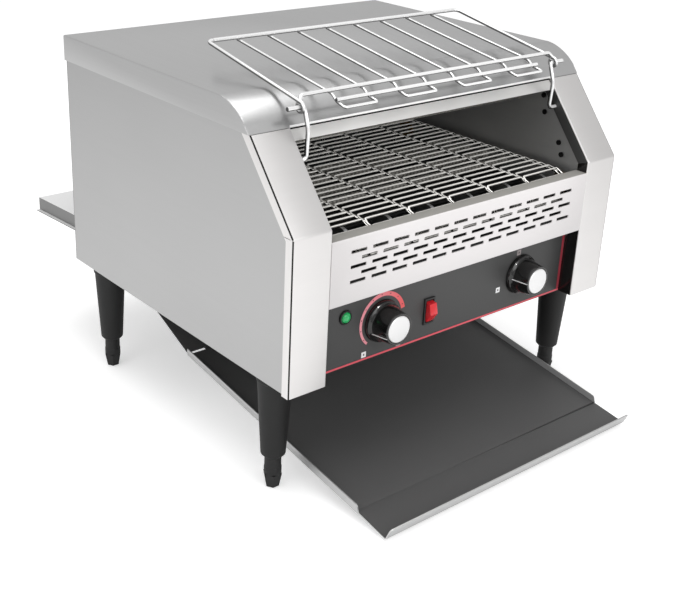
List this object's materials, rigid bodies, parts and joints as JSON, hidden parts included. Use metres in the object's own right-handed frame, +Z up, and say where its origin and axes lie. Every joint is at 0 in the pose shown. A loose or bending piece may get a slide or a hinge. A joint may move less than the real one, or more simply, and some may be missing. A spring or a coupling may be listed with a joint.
{
  "type": "conveyor toaster",
  "caption": "Countertop conveyor toaster with a wire belt, quartz heaters, a folding wire feed rack and a sloping catch tray on tall legs.",
  "frame": {"origin": "middle of the width and depth, tray and rear guard included, at the height of the feet", "axes": "+X to the right as seen from the front, +Y to the back, +Z up"},
  "size_m": [0.4678, 0.63, 0.4253],
  "materials": {
    "casing_steel": "brushed",
    "side_steel": "satin",
    "post_steel": "satin",
    "cover_steel": "brushed",
    "inner_steel": "dull",
    "grille_paint": "smooth",
    "panel_film": "satin",
    "leg_plastic": "fine grain",
    "foot_plastic": "fine grain",
    "dark_coat": "non-stick coat",
    "wire_steel": "heat dulled",
    "shaft_steel": "turned",
    "bronze": "sintered",
    "quartz": "clear",
    "ceramic": "glazed",
    "reflector_steel": "bright",
    "motor_metal": "satin",
    "chain_steel": "oiled",
    "black_plastic": "moulded",
    "board": "lacquered",
    "knob_plastic": "gloss",
    "cap_metal": "spun",
    "green_lens": "clear",
    "red_rocker": "gloss",
    "rack_chrome": "polished"
  },
  "bodies": {
    "casing": {"base_pan": "casing_steel", "side_panel_left": "side_steel", "side_panel_right": "side_steel", "front_post_left": "post_steel", "front_post_right": "post_steel", "top_cover": "cover_steel", "back_panel": "casing_steel", "fascia": "cover_steel", "inner_wall_left": "inner_steel", "inner_wall_right": "inner_steel", "grille_panel": "grille_paint", "control_panel": "panel_film", "leg_front_left": "leg_plastic", "leg_front_right": "leg_plastic", "leg_rear_left": "leg_plastic", "leg_rear_right": "leg_plastic", "toast_chute": "dark_coat", "bulkhead": "inner_steel", "tray_runners": "dark_coat", "rear_guard": "side_steel", "conveyor_belt": "wire_steel", "shaft_bushes": "bronze", "upper_heaters": "quartz", "lower_heaters": "quartz", "heater_holders": "ceramic", "upper_reflector": "reflector_steel", "lower_reflector": "reflector_steel", "gear_motor": "motor_metal", "motor_bracket": "casing_steel", "drive_chain": "chain_steel", "fan_frame": "black_plastic", "speed_board": "board", "speed_control": "motor_metal", "heat_selector": "ceramic", "lamp_bezel": "black_plastic", "lamp_lens": "green_lens", "switch_bezel": "black_plastic", "wall_screws": "shaft_steel", "cable_gland": "black_plastic", "terminal_block": "ceramic"},
    "front_left_foot": {"foot_front_left": "foot_plastic"},
    "front_right_foot": {"foot_front_right": "foot_plastic"},
    "rear_left_foot": {"foot_rear_left": "foot_plastic"},
    "rear_right_foot": {"foot_rear_right": "foot_plastic"},
    "tray": {"catch_tray": "dark_coat"},
    "front_roller": {"front_shaft": "shaft_steel", "front_discs": "shaft_steel"},
    "drive_roller": {"drive_shaft": "shaft_steel", "drive_discs": "shaft_steel", "drive_sprocket": "shaft_steel"},
    "motor_output": {"motor_sprocket": "shaft_steel"},
    "fan": {"fan_rotor": "black_plastic"},
    "speed_dial": {"speed_knob": "knob_plastic", "speed_cap": "cap_metal"},
    "selector_dial": {"selector_knob": "knob_plastic", "selector_cap": "cap_metal"},
    "power_rocker": {"rocker": "red_rocker"},
    "arms": {"rack_arm_left": "rack_chrome", "rack_arm_right": "rack_chrome"},
    "rack": {"feed_rack": "rack_chrome"}
  },
  "joints": [
    {"name": "front_left_foot_height", "type": "slide", "parent": "casing", "child": "front_left_foot", "axis": [0, 0, 1], "range_m": [0, 0.01]},
    {"name": "front_right_foot_height", "type": "slide", "parent": "casing", "child": "front_right_foot", "axis": [0, 0, 1], "range_m": [0, 0.01]},
    {"name": "rear_left_foot_height", "type": "slide", "parent": "casing", "child": "rear_left_foot", "axis": [0, 0, 1], "range_m": [0, 0.01]},
    {"name": "rear_right_foot_height", "type": "slide", "parent": "casing", "child": "rear_right_foot", "axis": [0, 0, 1], "range_m": [0, 0.01]},
    {"name": "tray_push", "type": "slide", "parent": "casing", "child": "tray", "axis": [0, 0.9888, 0.1495], "range_m": [0, 0.08]},
    {"name": "drive_shaft_spin", "type": "hinge", "parent": "casing", "child": "drive_roller", "pos_m": [0, 0.07904, 0.25585], "axis": [1, 0, 0], "continuous": true},
    {"name": "front_shaft_spin", "type": "hinge", "parent": "casing", "child": "front_roller", "pos_m": [0, -0.17696, 0.25585], "axis": [1, 0, 0], "continuous": true},
    {"name": "motor_spin", "type": "hinge", "parent": "casing", "child": "motor_output", "pos_m": [0.2129, 0.04004, 0.178], "axis": [1, 0, 0], "continuous": true},
    {"name": "fan_spin", "type": "hinge", "parent": "casing", "child": "fan", "pos_m": [0.03, -0.08696, 0.1692], "axis": [0, 1, 0], "continuous": true},
    {"name": "speed_knob_turn", "type": "hinge", "parent": "casing", "child": "speed_dial", "pos_m": [-0.098, -0.20396, 0.166], "axis": [0, 1, 0], "range_deg": [-24, 191]},
    {"name": "selector_knob_turn", "type": "hinge", "parent": "casing", "child": "selector_dial", "pos_m": [0.112, -0.20396, 0.166], "axis": [0, 1, 0], "range_deg": [-90, 180]},
    {"name": "rocker_tilt", "type": "hinge", "parent": "casing", "child": "power_rocker", "pos_m": [-0.031, -0.19296, 0.159], "axis": [1, 0, 0], "range_deg": [-18, 0]},
    {"name": "arms_swing", "type": "hinge", "parent": "casing", "child": "arms", "pos_m": [0, -0.15596, 0.34], "axis": [1, 0, 0], "range_deg": [0, 130.5]},
    {"name": "rack_lift", "type": "hinge", "parent": "arms", "child": "rack", "pos_m": [0, -0.15096, 0.39], "axis": [1, 0, 0], "range_deg": [0, 30]}
  ],
  "couplings": [
    {"joint": "front_shaft_spin", "follows": "drive_shaft_spin", "ratio": 1},
    {"joint": "motor_spin", "follows": "drive_shaft_spin", "ratio": 1.5}
  ]
}
